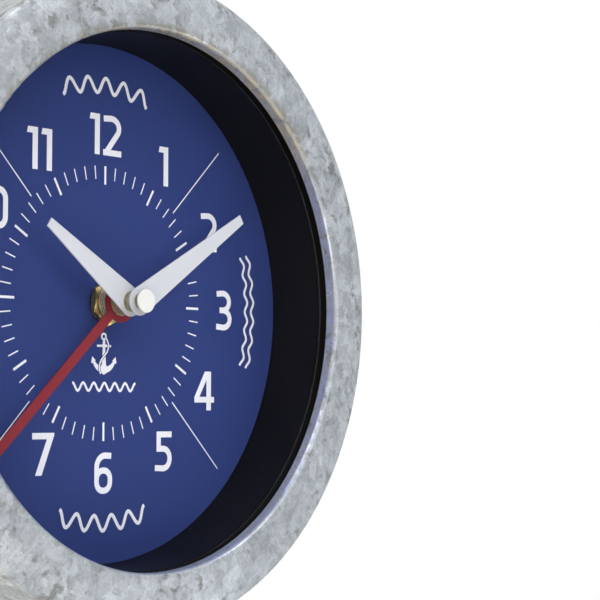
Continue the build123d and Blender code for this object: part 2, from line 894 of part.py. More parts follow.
def movement_front_case():
    """Front half: plate, side walls, posts for the wheels and bosses for the knobs."""
    body = movement_outline(case_split, case_front)
    body -= block(
        -inner_half_width, inner_half_width, -case_bottom + case_wall, cavity_top, case_split, plate_back
    )
    body += disc(post_radius, motion_level - loose_gap, plate_back, motion_axis)
    motion_front = hour_level + gear_width + loose_gap
    body += disc(post_radius + boss_wall, motion_front, plate_back, motion_axis)
    body += disc(post_radius, tide_drive_level - loose_gap, plate_back, transfer_axis)
    transfer_front = tide_level + gear_width + loose_gap
    body += disc(post_radius + boss_wall, transfer_front, plate_back, transfer_axis)
    for axis, level in ((time_knob_axis, motion_level), (tide_knob_axis, tide_level)):
        body += disc(knob_pivot_radius + boss_wall, level + gear_width + loose_gap, plate_back, axis)
        hole_end = knob_pivot_end(level) + loose_gap
        body -= disc(knob_pivot_radius + running_fit, level + gear_width, hole_end, axis)
    return body - disc(bush_radius, plate_back, case_front)


def movement_rear_case():
    """Rear half: back wall with the knob holes, side walls, battery bay, bearing and board pegs."""
    body = movement_outline(case_back, case_split)
    body -= block(-inner_half_width, inner_half_width, bay_top, cavity_top, floor_level, case_split)
    block_half = inner_half_width - slip_fit
    bay_bottom = battery_height - bay_half_height - bay_wall
    body += block(-block_half, block_half, bay_bottom, bay_top, case_back, bay_block_front)
    body -= block(
        -bay_half_length,
        bay_half_length,
        battery_height - bay_half_height,
        battery_height + bay_half_height,
        case_back,
        bay_floor,
    )
    pivot_front = center_level - level_gap
    bearing_front = pivot_front - loose_gap
    body += disc(arbor_pivot_radius + boss_wall, floor_level, bearing_front)
    pivot_back = pivot_front - arbor_pivot_length
    body -= disc(arbor_pivot_radius + running_fit, pivot_back - loose_gap, bearing_front)
    for axis in (time_knob_axis, tide_knob_axis):
        body += disc(knob_shaft_radius + boss_wall, floor_level, floor_level + case_plate, axis)
        body -= disc(knob_shaft_radius + running_fit, case_back, floor_level + case_plate, axis)
    for at in board_pegs():
        body += disc(board_peg_radius, floor_level, board_back, at)
        body += disc(board_peg_radius / 2, board_back, board_back + board_thickness, at)
    return body


def battery():
    """Round cell with its contact nub at the right."""
    left = -battery_length / 2
    shoulder = battery_length / 2 - battery_nub_length
    body = along_x(battery_radius, left, shoulder, battery_height, battery_level)
    body = chamfer(body.edges(), battery_edge)
    return body + along_x(battery_nub_radius, shoulder, battery_length / 2, battery_height, battery_level)


def contact_plate(inner, outer):
    """Flat contact against an end wall of the bay."""
    half = contact_width / 2
    left = min(inner, outer)
    right = max(inner, outer)
    return block(
        left, right, battery_height - half, battery_height + half, battery_level - half, battery_level + half
    )


def battery_contact_plus():
    """Flat plate for the nub."""
    return contact_plate(bay_half_length - contact_thickness, bay_half_length)


def battery_contact_minus():
    """Plate with a bowed leaf that presses on the cell."""
    wall = -bay_half_length
    face = wall + contact_thickness
    crest = -battery_length / 2 - slip_fit
    half = contact_width / 2
    leaf = Polygon(
        (face, battery_height - half), (crest, battery_height), (face, battery_height + half), align=None
    )
    bow = Pos(0, 0, battery_level - half / 2) * extrude(leaf, half)
    return contact_plate(wall, face) + bow


NODES = {
    "bezel_ring": bezel_ring,
    "drum_case": drum_case,
    "hanger_plate": hanger_plate,
    "hanger_rivets": hanger_rivets,
    "inner_wall_ring": inner_wall_ring,
    "lens": lens,
    "lens_gasket": lens_gasket,
    "dial_plate": dial_plate,
    "dial_screws": dial_screws,
    "gasket_washer": gasket_washer,
    "dial_washer": dial_washer,
    "bush_nut": bush_nut,
    "center_bush": center_bush,
    "tide_hand": tide_hand,
    "tide_hand_bush": tide_hand_bush,
    "hour_hand": hour_hand,
    "hour_hand_bush": hour_hand_bush,
    "minute_hand": minute_hand,
    "minute_hand_bush": minute_hand_bush,
    "hand_cap": hand_cap,
    "minute_arbor": minute_arbor,
    "hour_wheel": hour_wheel,
    "tide_wheel": tide_wheel,
    "motion_wheel": motion_wheel,
    "tide_transfer_wheel": tide_transfer_wheel,
    "time_setting_knob": time_setting_knob,
    "tide_setting_knob": tide_setting_knob,
    "drive_pinion": drive_pinion,
    "drive_module": drive_module,
    "drive_coil": drive_coil,
    "circuit_board": circuit_board,
    "quartz_crystal": quartz_crystal,
    "movement_front_case": movement_front_case,
    "movement_rear_case": movement_rear_case,
    "battery": battery,
    "battery_contact_plus": battery_contact_plus,
    "battery_contact_minus": battery_contact_minus,
}

os.makedirs("parts", exist_ok=True)
for name, make in NODES.items():
    export_step(stand_up(make()), f"parts/{name}.step")
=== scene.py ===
import math

import bmesh
import bpy
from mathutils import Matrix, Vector
from mathutils.geometry import delaunay_2d_cdt


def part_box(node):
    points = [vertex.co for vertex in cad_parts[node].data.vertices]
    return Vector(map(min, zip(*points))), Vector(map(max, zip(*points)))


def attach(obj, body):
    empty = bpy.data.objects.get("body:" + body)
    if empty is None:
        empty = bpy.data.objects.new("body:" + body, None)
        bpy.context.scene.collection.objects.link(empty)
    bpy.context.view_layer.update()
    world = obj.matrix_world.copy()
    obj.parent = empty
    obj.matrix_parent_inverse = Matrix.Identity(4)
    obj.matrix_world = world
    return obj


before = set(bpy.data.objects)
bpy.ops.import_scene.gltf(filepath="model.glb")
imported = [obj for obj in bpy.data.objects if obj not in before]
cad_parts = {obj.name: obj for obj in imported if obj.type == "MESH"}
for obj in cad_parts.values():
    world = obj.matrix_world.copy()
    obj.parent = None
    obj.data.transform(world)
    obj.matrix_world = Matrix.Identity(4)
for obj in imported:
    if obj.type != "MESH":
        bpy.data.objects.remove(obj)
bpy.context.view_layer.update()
scene = bpy.context.scene

# Lengths on the clock are millimetres, as its maker would give them, and mm() turns them to metres.
# The floor, the lights and the camera are placed in metres. On the dial, x runs to the reader's right
# and y up, and levels are distances in front of the wall.
MM = 0.001


def mm(x, y, level):
    """Point of the part's frame, in metres, from a place on the dial and a level."""
    return Vector((x * MM, -level * MM, y * MM))


def box_mm(node):
    """Left, right, foot and top of a node, in millimetres on the dial."""
    low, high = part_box(node)
    return low[0] / MM, high[0] / MM, low[2] / MM, high[2] / MM


def front_level(node):
    """Level of a node's front."""
    low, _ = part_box(node)
    return -low[1] / MM


def back_level(node):
    """Level of a node's back."""
    _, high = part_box(node)
    return -high[1] / MM


def on_clock(radius, angle):
    """Place on the dial at a radius and an angle clockwise from twelve."""
    turn = math.radians(angle)
    return (radius * math.sin(turn), radius * math.cos(turn))


# Flat outlines for printed and moulded marks: lists of polygons, which may overlap
MITER_LIMIT = 0.35


def box(left, right, foot, top):
    """Upright four-sided polygon."""
    return [(left, foot), (right, foot), (right, top), (left, top)]


def arc(center, reach_x, reach_y, start, end, steps=14):
    """Points on an ellipse between two angles, counter-clockwise from the right."""
    points = []
    for step in range(steps + 1):
        angle = math.radians(start + (end - start) * step / steps)
        points.append((center[0] + reach_x * math.cos(angle), center[1] + reach_y * math.sin(angle)))
    return points


def rounded_loop(left, right, foot, top, corner):
    """Closed line of a box with round corners, from the upper end of its right side."""
    points = []
    corners = ((right, top, 0), (left, top, 90), (left, foot, 180), (right, foot, 270))
    for x, y, start in corners:
        center = (x - corner if x == right else x + corner, y - corner if y == top else y + corner)
        points += arc(center, corner, corner, start, start + 90, 6)
    return points


def stroke(points, width, closed=False):
    """Ribbon of one width along a line of points, as four-sided polygons with mitred corners."""
    count = len(points)
    path = [Vector(point) for point in points]
    sides = []
    for index, point in enumerate(path):
        before = path[index - 1] if index or closed else None
        after = path[(index + 1) % count] if index + 1 < count or closed else None
        run_in = (point - before).normalized() if before else (after - point).normalized()
        run_out = (after - point).normalized() if after else run_in
        normal_in = Vector((-run_in.y, run_in.x))
        normal_out = Vector((-run_out.y, run_out.x))
        miter = (normal_in + normal_out).normalized()
        reach = width / 2 / max(miter.dot(normal_in), MITER_LIMIT)
        sides.append((point + miter * reach, point - miter * reach))
    pieces = []
    for index in range(count if closed else count - 1):
        left_a, right_a = sides[index]
        left_b, right_b = sides[(index + 1) % count]
        pieces.append([tuple(right_a), tuple(right_b), tuple(left_b), tuple(left_a)])
    return pieces


def moved(polygons, x, y):
    """The polygons moved across the dial."""
    return [[(corner_x + x, corner_y + y) for corner_x, corner_y in polygon] for polygon in polygons]


def turned(polygons, angle):
    """The polygons turned clockwise about the dial's middle."""
    turn = math.radians(angle)
    cosine, sine = math.cos(turn), math.sin(turn)

    def place(x, y):
        """One corner, turned."""
        return (x * cosine + y * sine, y * cosine - x * sine)

    return [[place(x, y) for x, y in polygon] for polygon in polygons]


# Closed pieces made from outlines
INSIDE_TRIANGLES = 1
MERGE_DISTANCE = 1e-5
PRINT_GAP = 0.005
PRINT_THICKNESS = 0.035
DIAL_FRONT = front_level("dial_plate")


def clean_union(polygons):
    """Corners and triangles that cover overlapping polygons once."""
    corners = []
    faces = []
    for polygon in polygons:
        area = sum(a[0] * b[1] - a[1] * b[0] for a, b in zip(polygon, polygon[1:] + polygon[:1]))
        ordered = polygon if area > 0 else polygon[::-1]
        faces.append(list(range(len(corners), len(corners) + len(ordered))))
        corners += [Vector(corner) for corner in ordered]
    result = delaunay_2d_cdt(corners, [], faces, INSIDE_TRIANGLES, MERGE_DISTANCE)
    places, _, triangles, _, _, sources = result
    return places, [face for face, source in zip(triangles, sources) if source]


def new_piece(name, shape, material):
    """Piece in the scene from a finished bmesh, with its faces turned outwards."""
    bmesh.ops.recalc_face_normals(shape, faces=list(shape.faces))
    mesh = bpy.data.meshes.new(name)
    shape.to_mesh(mesh)
    shape.free()
    mesh.materials.append(material)
    piece = bpy.data.objects.new(name, mesh)
    scene.collection.objects.link(piece)
    return piece


def prism(name, polygons, back, front, material):
    """Closed piece of one outline between two levels."""
    places, faces = clean_union(polygons)
    shape = bmesh.new()
    tops = [shape.verts.new(mm(place[0], place[1], front)) for place in places]
    for face in faces:
        shape.faces.new([tops[index] for index in face])
    loose = [vert for vert in shape.verts if not vert.link_faces]
    bmesh.ops.delete(shape, geom=loose, context="VERTS")
    made = bmesh.ops.extrude_face_region(shape, geom=list(shape.faces))
    for item in made["geom"]:
        if isinstance(item, bmesh.types.BMVert):
            item.co.y = -back * MM
    return new_piece(name, shape, material)


def print_on_dial(name, polygons, material, layer):
    """Thin printed piece on the dial's face."""
    back = DIAL_FRONT + PRINT_GAP + layer * PRINT_THICKNESS
    return prism(name, polygons, back, back + PRINT_THICKNESS, material)


# Shader nodes, each fed by other nodes' outputs or by plain values


def add(tree, kind, **settings):
    """New node with its settings and input values."""
    node = tree.nodes.new(kind)
    for key, value in settings.items():
        if hasattr(node, key) and key not in node.inputs:
            setattr(node, key, value)
        else:
            node.inputs[key].default_value = value
    return node


def feed(tree, socket, value):
    """Link a socket to another node's output, or set it to a plain value."""
    if isinstance(value, bpy.types.NodeSocket):
        tree.links.new(value, socket)
    else:
        socket.default_value = value


def arithmetic(tree, operation, *values):
    """Result of one step of arithmetic."""
    node = add(tree, "ShaderNodeMath", operation=operation)
    for socket, value in zip(node.inputs, values):
        feed(tree, socket, value)
    return node.outputs[0]


def scaled_by(tree, source, factor):
    """Coordinates or a colour times a value."""
    node = add(tree, "ShaderNodeVectorMath", operation="SCALE")
    feed(tree, node.inputs[0], source)
    feed(tree, node.inputs["Scale"], factor)
    return node.outputs[0]


def noise(tree, place, scale, detail, roughness):
    """Noise texture at a place."""
    node = add(tree, "ShaderNodeTexNoise", Scale=scale, Detail=detail, Roughness=roughness)
    feed(tree, node.inputs["Vector"], place)
    return node


def spread(tree, value, before=(0.0, 1.0), after=(0.0, 1.0), soft=True):
    """Value carried from one range to another, with soft ends or straight."""
    node = add(tree, "ShaderNodeMapRange", interpolation_type="SMOOTHSTEP" if soft else "LINEAR")
    labels = ("From Min", "From Max", "To Min", "To Max")
    for label, limit in zip(labels, before + after):
        node.inputs[label].default_value = limit
    feed(tree, node.inputs["Value"], value)
    return node.outputs[0]


def blended(tree, factor, first, second):
    """Colour between two colours."""
    node = add(tree, "ShaderNodeMix", data_type="RGBA")
    feed(tree, node.inputs["Factor"], factor)
    feed(tree, node.inputs["A"], first)
    feed(tree, node.inputs["B"], second)
    return node.outputs["Result"]


def split_place(tree, place):
    """The three coordinates of a place."""
    node = add(tree, "ShaderNodeSeparateXYZ")
    feed(tree, node.inputs[0], place)
    return node.outputs


def axis_radius(tree, across, up):
    """Distance from the clock's axis."""
    flat = add(tree, "ShaderNodeCombineXYZ")
    feed(tree, flat.inputs["X"], across)
    feed(tree, flat.inputs["Z"], up)
    node = add(tree, "ShaderNodeVectorMath", operation="LENGTH")
    feed(tree, node.inputs[0], flat.outputs[0])
    return node.outputs["Value"]


# Shader groups shared by the clock's finishes
COLOR = "NodeSocketColor"
VALUE = "NodeSocketFloat"
SURFACE = {"Color": COLOR, "Roughness": VALUE, "Height": VALUE}


def shader_group(name, inputs):
    """Empty shader group for a surface, and its input sockets and output node."""
    group = bpy.data.node_groups.new(name, "ShaderNodeTree")
    for label, kind, value in inputs:
        socket = group.interface.new_socket(label, in_out="INPUT", socket_type=kind)
        socket.default_value = value
    for label, kind in SURFACE.items():
        group.interface.new_socket(label, in_out="OUTPUT", socket_type=kind)
    return group, group.nodes.new("NodeGroupInput").outputs, group.nodes.new("NodeGroupOutput")


def put_out(group, end, **surface):
    """Feed a group's outputs."""
    for label, value in surface.items():
        group.links.new(value, end.inputs[label])


def galvanised_group():
    """Zinc bloom: angular flakes, soft clouds, thin veins and dull specks, worn at an edge, with painted
    light and a painted reflection of the dial on that edge.
    """
    group, given, end = shader_group(
        "zinc_bloom",
        [
            ("Light Zinc", COLOR, (0.6, 0.62, 0.64, 1)),
            ("Grey Zinc", COLOR, (0.4, 0.41, 0.42, 1)),
            ("Dull Specks", COLOR, (0.25, 0.25, 0.23, 1)),
            ("Tarnish", COLOR, (0.3, 0.28, 0.22, 1)),
            ("Rubbed Edge and Painted Light", COLOR, (0.8, 0.7, 0.5, 1)),
            ("Painted Dial Reflection", COLOR, (0.5, 0.55, 0.7, 1)),
            ("Worn Edge Radius", VALUE, 0.0),
            ("Clouds per Metre", VALUE, 110.0),
        ],
    )
    place = add(group, "ShaderNodeTexCoord").outputs["Object"]
    cloud_place = scaled_by(group, place, given["Clouds per Metre"])
    drift = noise(group, cloud_place, scale=1.6, detail=4.0, roughness=0.6)
    drift_reach = 0.9
    flow_node = add(group, "ShaderNodeVectorMath", operation="MULTIPLY_ADD")
    feed(group, flow_node.inputs[0], drift.outputs["Color"])
    feed(group, flow_node.inputs[1], (drift_reach, drift_reach, drift_reach))
    feed(group, flow_node.inputs[2], cloud_place)
    flow = flow_node.outputs[0]

    def patches(scale, detail, roughness, low=0.0, high=1.0):
        """Noise along the drifting coordinates, as it is and spread to between nought and one."""
        raw = noise(group, flow, scale, detail, roughness).outputs["Fac"]
        return raw, spread(group, raw, (low, high))

    def weighted(value, weight, rest=0.0):
        """One value times a weight, added to the rest."""
        return arithmetic(group, "MULTIPLY_ADD", value, weight, rest)

    def product(first, second):
        """One value times another."""
        return arithmetic(group, "MULTIPLY", first, second)

    def flakes(scale):
        """Even tone on each angular flake of zinc."""
        cells = add(group, "ShaderNodeTexVoronoi", feature="F1", distance="MANHATTAN", Scale=scale)
        feed(group, cells.inputs["Vector"], flow)
        tone = add(group, "ShaderNodeSeparateColor")
        feed(group, tone.inputs[0], cells.outputs["Color"])
        return tone.outputs[0]

    def step_over(value, near, far, before, after):
        """Soft step from one level to another, between two lengths in millimetres."""
        return spread(group, value, (near * MM, far * MM), (before, after))

    # Flakes, clouds and mottling
    _, cloud = patches(scale=1.1, detail=3.0, roughness=0.55, low=0.36, high=0.64)
    mottle_raw, mottle = patches(scale=6.0, detail=5.0, roughness=0.7, low=0.3, high=0.7)
    light = weighted(flakes(scale=1.0), weight=0.3, rest=weighted(cloud, weight=0.2))
    light = weighted(mottle, weight=0.25, rest=light)
    light = weighted(flakes(scale=2.3), weight=0.28, rest=light)
    zinc = blended(group, light, given["Grey Zinc"], given["Light Zinc"])

    # Thin veins where a noise passes its middle, and clusters of dull specks
    vein_middle = 0.5
    vein_half_width = 0.028
    vein_strength = 0.25
    vein_raw, _ = patches(scale=1.9, detail=3.0, roughness=0.6)
    from_vein = arithmetic(group, "ABSOLUTE", arithmetic(group, "SUBTRACT", vein_raw, vein_middle))
    vein = spread(group, from_vein, (0.0, vein_half_width), (vein_strength, 0.0))
    _, speck = patches(scale=2.4, detail=3.0, roughness=0.55, low=0.48, high=0.7)
    _, dull_area = patches(scale=0.7, detail=2.0, roughness=0.5, low=0.42, high=0.6)
    marks = weighted(speck, weight=0.15, rest=vein)
    marks = weighted(product(speck, dull_area), weight=0.7, rest=marks)
    coat = blended(group, marks, zinc, given["Dull Specks"])

    # Tarnish and rubbing next to the worn edge, with painted light: khaki tarnish and a cream strip above
    # stand for warm light from below on the lip that faces down, and a painted reflection of the blue
    # dial lies below
    sides = split_place(group, place)
    radius = axis_radius(group, sides["X"], sides["Z"])
    beyond = arithmetic(group, "SUBTRACT", radius, given["Worn Edge Radius"])
    wear = step_over(beyond, near=1.2, far=4.0, before=1.0, after=0.0)
    edge_strip = step_over(beyond, near=0.2, far=1.0, before=1.0, after=0.0)
    # Painted light: the upper part of the lip faces down, and it gets the khaki and cream of warm light
    # from below
    upper = step_over(sides["Z"], near=40.0, far=64.0, before=0.0, after=1.0)
    _, patch = patches(scale=2.6, detail=4.0, roughness=0.65, low=0.36, high=0.62)
    tarnish_and_painted_light = product(product(weighted(patch, weight=0.8), wear), upper)
    coat_with_painted_light = blended(group, tarnish_and_painted_light, coat, given["Tarnish"])
    edge = blended(group, upper, given["Painted Dial Reflection"], given["Rubbed Edge and Painted Light"])
    rub_and_painted_light = product(weighted(patch, weight=0.75), edge_strip)
    rough = spread(group, light, after=(0.52, 0.38), soft=False)
    put_out(
        group,
        end,
        Color=blended(group, rub_and_painted_light, coat_with_painted_light, edge),
        Roughness=weighted(wear, weight=-0.14, rest=rough),
        Height=mottle_raw,
    )
    return group


def grain_group():
    """Fine even grain of paint, moulded plastic and rubber."""
    group, given, end = shader_group(
        "fine_grain",
        [
            ("Color", COLOR, (0.5, 0.5, 0.5, 1)),
            ("Tone Change", VALUE, 0.1),
            ("Roughness", VALUE, 0.5),
            ("Roughness Change", VALUE, 0.1),
            ("Grains per Metre", VALUE, 2500.0),
        ],
    )
    place = add(group, "ShaderNodeTexCoord").outputs["Object"]
    grain_place = scaled_by(group, place, given["Grains per Metre"])
    fine = noise(group, grain_place, scale=1.0, detail=3.0, roughness=0.6).outputs["Fac"]
    broad = noise(group, grain_place, scale=0.03, detail=3.0, roughness=0.5).outputs["Fac"]
    change = arithmetic(group, "SUBTRACT", arithmetic(group, "ADD", fine, broad), 1.0)
    tone = arithmetic(group, "MULTIPLY_ADD", change, given["Tone Change"], 1.0)
    rough = arithmetic(group, "MULTIPLY_ADD", change, given["Roughness Change"], given["Roughness"])
    put_out(group, end, Color=scaled_by(group, given["Color"], tone), Roughness=rough, Height=fine)
    return group


def turning_group():
    """Rings left by the lathe round the clock's axis, with a little tarnish."""
    group, given, end = shader_group(
        "lathe_marks",
        [
            ("Bright", COLOR, (0.7, 0.5, 0.2, 1)),
            ("Tarnish", COLOR, (0.3, 0.2, 0.08, 1)),
            ("Marks per Metre", VALUE, 6000.0),
        ],
    )
    place = add(group, "ShaderNodeTexCoord").outputs["Object"]
    sides = split_place(group, place)
    track = add(group, "ShaderNodeCombineXYZ")
    feed(group, track.inputs["X"], axis_radius(group, sides["X"], sides["Z"]))
    feed(group, track.inputs["Y"], sides["Y"])
    mark_place = scaled_by(group, track.outputs[0], given["Marks per Metre"])
    marks = noise(group, mark_place, scale=1.0, detail=2.0, roughness=0.5).outputs["Fac"]
    spots = noise(group, place, scale=500.0, detail=4.0, roughness=0.6).outputs["Fac"]
    dull = spread(group, arithmetic(group, "MULTIPLY_ADD", marks, 0.5, spots), (0.55, 0.95), soft=False)
    put_out(
        group,
        end,
        Color=blended(group, dull, given["Bright"], given["Tarnish"]),
        Roughness=spread(group, dull, after=(0.22, 0.42), soft=False),
        Height=marks,
    )
    return group


zinc_bloom = galvanised_group()
fine_grain = grain_group()
lathe_marks = turning_group()

# Finishes of the clock, with relief depths in millimetres
FINE_RELIEF = 0.02
ZINC_RELIEF = 0.12
GRAIN_ROUGHNESS_CHANGE = 0.1
BEZEL_LIP_RADIUS = 90.0
BATTERY_BAND_START = 15.5
BACK_FACING = 0.5


def plain_material(name):
    """New material, its nodes and its shader."""
    material = bpy.data.materials.new(name)
    material.use_nodes = True
    return material, material.node_tree, material.node_tree.nodes["Principled BSDF"]


def finish_material(name, group, values, metallic, bump, depth, specular=0.5):
    """Material whose colour, roughness and relief come from one of the shared groups."""
    material, tree, shader = plain_material(name)
    shader.inputs["Metallic"].default_value = metallic
    shader.inputs["Specular IOR Level"].default_value = specular
    source = tree.nodes.new("ShaderNodeGroup")
    source.node_tree = group
    for label, value in values.items():
        source.inputs[label].default_value = value
    relief = tree.nodes.new("ShaderNodeBump")
    relief.inputs["Strength"].default_value = bump
    relief.inputs["Distance"].default_value = depth * MM
    tree.links.new(source.outputs["Color"], shader.inputs["Base Color"])
    tree.links.new(source.outputs["Roughness"], shader.inputs["Roughness"])
    tree.links.new(source.outputs["Height"], relief.inputs["Height"])
    tree.links.new(relief.outputs["Normal"], shader.inputs["Normal"])
    return material


def zinc_coated(name, worn_edge=0.0):
    """Galvanised sheet, worn next to an edge of one radius where it has such an edge, and painted there
    with warm light above and a reflection of the blue dial below.
    """
    values = {
        "Light Zinc": (0.8, 0.86, 0.94, 1.0),
        "Grey Zinc": (0.3, 0.332, 0.375, 1.0),
        "Dull Specks": (0.22, 0.224, 0.215, 1.0),
        "Tarnish": (0.34, 0.325, 0.275, 1.0),
        # Cream painted light on the upper lip, and a painted reflection of the blue dial on the lower lip
        "Rubbed Edge and Painted Light": (0.87, 0.78, 0.6, 1.0),
        "Painted Dial Reflection": (0.56, 0.62, 0.9, 1.0),
        "Worn Edge Radius": worn_edge * MM,
    }
    return finish_material(name, zinc_bloom, values, metallic=0.45, bump=0.1, depth=ZINC_RELIEF)


def grained(name, color, roughness, grains=1500.0, tone=0.1, bump=0.15, specular=0.5):
    """Paint, plastic or rubber with a fine grain, so many grains to the metre."""
    values = {
        "Color": (*color, 1.0),
        "Tone Change": tone,
        "Roughness": roughness,
        "Roughness Change": GRAIN_ROUGHNESS_CHANGE,
        "Grains per Metre": grains,
    }
    return finish_material(name, fine_grain, values, 0.0, bump, FINE_RELIEF, specular=specular)


def lathed(name, bright, tarnish, marks=6000.0, bump=0.12, metallic=1.0):
    """Turned metal, with so many lathe marks to the metre."""
    values = {"Bright": (*bright, 1.0), "Tarnish": (*tarnish, 1.0), "Marks per Metre": marks}
    return finish_material(name, lathe_marks, values, metallic, bump, FINE_RELIEF)


def two_tone(material, second, coordinate, axis, start):
    """Second colour on a finish: past a place along an axis, or on the faces that look along it."""
    tree = material.node_tree
    place = add(tree, "ShaderNodeTexCoord").outputs[coordinate]
    past = arithmetic(tree, "GREATER_THAN", split_place(tree, place)[axis], start)
    shader = tree.nodes["Principled BSDF"]
    first = shader.inputs["Base Color"].links[0].from_socket
    tree.links.new(blended(tree, past, first, (*second, 1.0)), shader.inputs["Base Color"])


def clear_glass():
    """Flat clear glass that lets the light through to the dial."""
    material, tree, shader = plain_material("clear_glass")
    shader.inputs["Base Color"].default_value = (0.97, 0.985, 0.98, 1.0)
    shader.inputs["Metallic"].default_value = 0.0
    shader.inputs["Transmission Weight"].default_value = 1.0
    shader.inputs["IOR"].default_value = 1.02
    place = add(tree, "ShaderNodeTexCoord").outputs["Object"]
    smudge = noise(tree, place, scale=60.0, detail=5.0, roughness=0.6).outputs["Fac"]
    haze = spread(tree, smudge, (0.45, 0.8), (0.0, 0.02), soft=False)
    tree.links.new(haze, shader.inputs["Roughness"])
    through = add(tree, "ShaderNodeBsdfTransparent")
    rays = add(tree, "ShaderNodeLightPath")
    pick = add(tree, "ShaderNodeMixShader")
    tree.links.new(rays.outputs["Is Shadow Ray"], pick.inputs["Fac"])
    tree.links.new(shader.outputs[0], pick.inputs[1])
    tree.links.new(through.outputs[0], pick.inputs[2])
    tree.links.new(pick.outputs[0], tree.nodes["Material Output"].inputs["Surface"])
    return material


galvanised = zinc_coated("galvanised_zinc")
galvanised_ring = zinc_coated("galvanised_zinc_ring", worn_edge=BEZEL_LIP_RADIUS)
plated = lathed("zinc_plate", (0.62, 0.62, 0.6), (0.4, 0.4, 0.38), marks=2500.0)
brass = lathed("turned_brass", (0.82, 0.62, 0.3), (0.34, 0.24, 0.11), metallic=0.95)
# The paler brass on the thread's ridges is painted light, and the post beneath them is in dark brass as
# painted shade between the ridges
post_brass = lathed("dull_post_brass", (0.74, 0.68, 0.54), (0.44, 0.39, 0.29), metallic=0.6)
collar_brass = lathed("collar_brass", (0.4, 0.37, 0.28), (0.22, 0.195, 0.14), metallic=0.4)
copper = lathed("copper_winding", (0.65, 0.27, 0.12), (0.4, 0.15, 0.06), marks=3500.0, bump=0.5)
black_moulding = grained(
    "black_moulding", (0.004, 0.004, 0.0055), roughness=0.45, grains=1800.0, tone=0.3, specular=0.2
)
black_rubber = grained("black_rubber", (0.017, 0.017, 0.021), roughness=0.7, grains=1200.0, tone=0.3)
blue_dial = grained(
    "blue_dial_enamel", (0.028, 0.0465, 0.188), roughness=0.6, grains=900.0, tone=0.08, specular=0.1
)
white_print = grained("white_dial_print", (0.775, 0.785, 0.9), roughness=0.6, grains=2500.0, tone=0.05)
white_hands = grained("white_hand_enamel", (0.55, 0.565, 0.65), roughness=0.42, tone=0.05)
white_cap = grained("white_cap_plastic", (0.72, 0.72, 0.745), roughness=0.3, tone=0.03, bump=0.05)
red_hand = grained("red_hand_enamel", (0.213, 0.021, 0.033), roughness=0.42, specular=0.2)
movement_plastic = grained("movement_moulding", (0.02, 0.02, 0.023), roughness=0.5, tone=0.25)
gear_plastic = grained("gear_moulding", (0.75, 0.73, 0.66), roughness=0.45)
knob_plastic = grained("knob_moulding", (0.11, 0.11, 0.12), roughness=0.45, tone=0.2)
board_varnish = grained("board_varnish", (0.012, 0.1, 0.04), roughness=0.3, grains=900.0, tone=0.4)
battery_jacket = grained(
    "battery_jacket", (0.05, 0.052, 0.06), roughness=0.35, grains=900.0, tone=0.15
)
glass = clear_glass()
# The cell's sleeve has a pale band at its plus end, and the dial plate is bare metal behind
two_tone(battery_jacket, (0.5, 0.5, 0.49), "Object", "X", BATTERY_BAND_START * MM)
two_tone(blue_dial, (0.3, 0.3, 0.31), "Normal", "Y", BACK_FACING)

FINISHES = {
    galvanised: ("drum_case",),
    galvanised_ring: ("bezel_ring",),
    plated: (
        "hanger_plate",
        "hanger_rivets",
        "dial_screws",
        "quartz_crystal",
        "battery_contact_plus",
        "battery_contact_minus",
    ),
    brass: ("bush_nut",),
    # The post under the thread shares the collars' dark brass as painted shade between the thread's
    # ridges
    collar_brass: ("center_bush", "tide_hand_bush", "hour_hand_bush", "minute_hand_bush"),
    black_moulding: ("inner_wall_ring",),
    black_rubber: ("lens_gasket", "gasket_washer", "dial_washer"),
    blue_dial: ("dial_plate",),
    white_hands: ("hour_hand", "minute_hand"),
    white_cap: ("hand_cap",),
    red_hand: ("tide_hand",),
    movement_plastic: ("movement_front_case", "movement_rear_case", "drive_module"),
    gear_plastic: (
        "minute_arbor",
        "hour_wheel",
        "tide_wheel",
        "motion_wheel",
        "tide_transfer_wheel",
        "drive_pinion",
    ),
    knob_plastic: ("time_setting_knob", "tide_setting_knob"),
    copper: ("drive_coil",),
    board_varnish: ("circuit_board",),
    battery_jacket: ("battery",),
    glass: ("lens",),
}
for material, names in FINISHES.items():
    for name in names:
        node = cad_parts[name]
        node.data.materials.clear()
        node.data.materials.append(material)

# Edges of the hands and the cap are rounded a little by their paint
ROUNDED = {"hour_hand": 0.13, "minute_hand": 0.13, "tide_hand": 0.1, "hand_cap": 0.12}
SHARP_EDGE = 50
for name, width in ROUNDED.items():
    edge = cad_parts[name].modifiers.new("paint_edge", "BEVEL")
    edge.width = width * MM
    edge.segments = 2
    edge.limit_method = "ANGLE"
    edge.angle_limit = math.radians(SHARP_EDGE)
    edge.harden_normals = True

# Plain numerals, drawn from a corner at their lower left
NUMERAL_HEIGHT = 14.0
NUMERAL_STROKE = 2.08
NUMERAL_SPACE = 1.25
NUMERAL_REACH = (60.9, 57.8)
HOUR_ANGLE = 30
LINE_TOP = NUMERAL_HEIGHT - NUMERAL_STROKE / 2
LINE_FOOT = NUMERAL_STROKE / 2
BEAM_FOOT = NUMERAL_HEIGHT - NUMERAL_STROKE
# Small shifts that make the row of numerals look even
NUMERAL_SHIFT = {
    1: (-1.7, -0.2),
    2: (-0.4, -0.8),
    4: (-2.3, -0.6),
    5: (-1.1, -0.9),
    6: (0.1, -0.1),
    7: (3.0, -1.0),
    8: (1.1, -0.9),
    10: (1.6, 0.0),
    11: (0.3, -0.2),
}


def drawn(*lines, closed=False):
    """Polygons of lines in the numerals' stroke."""
    polygons = []
    for line in lines:
        polygons += stroke(line, NUMERAL_STROKE, closed)
    return polygons


def zero():
    """Polygons and width of the 0: one tall loop."""
    return drawn(rounded_loop(1.15, 7.45, LINE_FOOT, LINE_TOP, 3.0), closed=True), 8.6


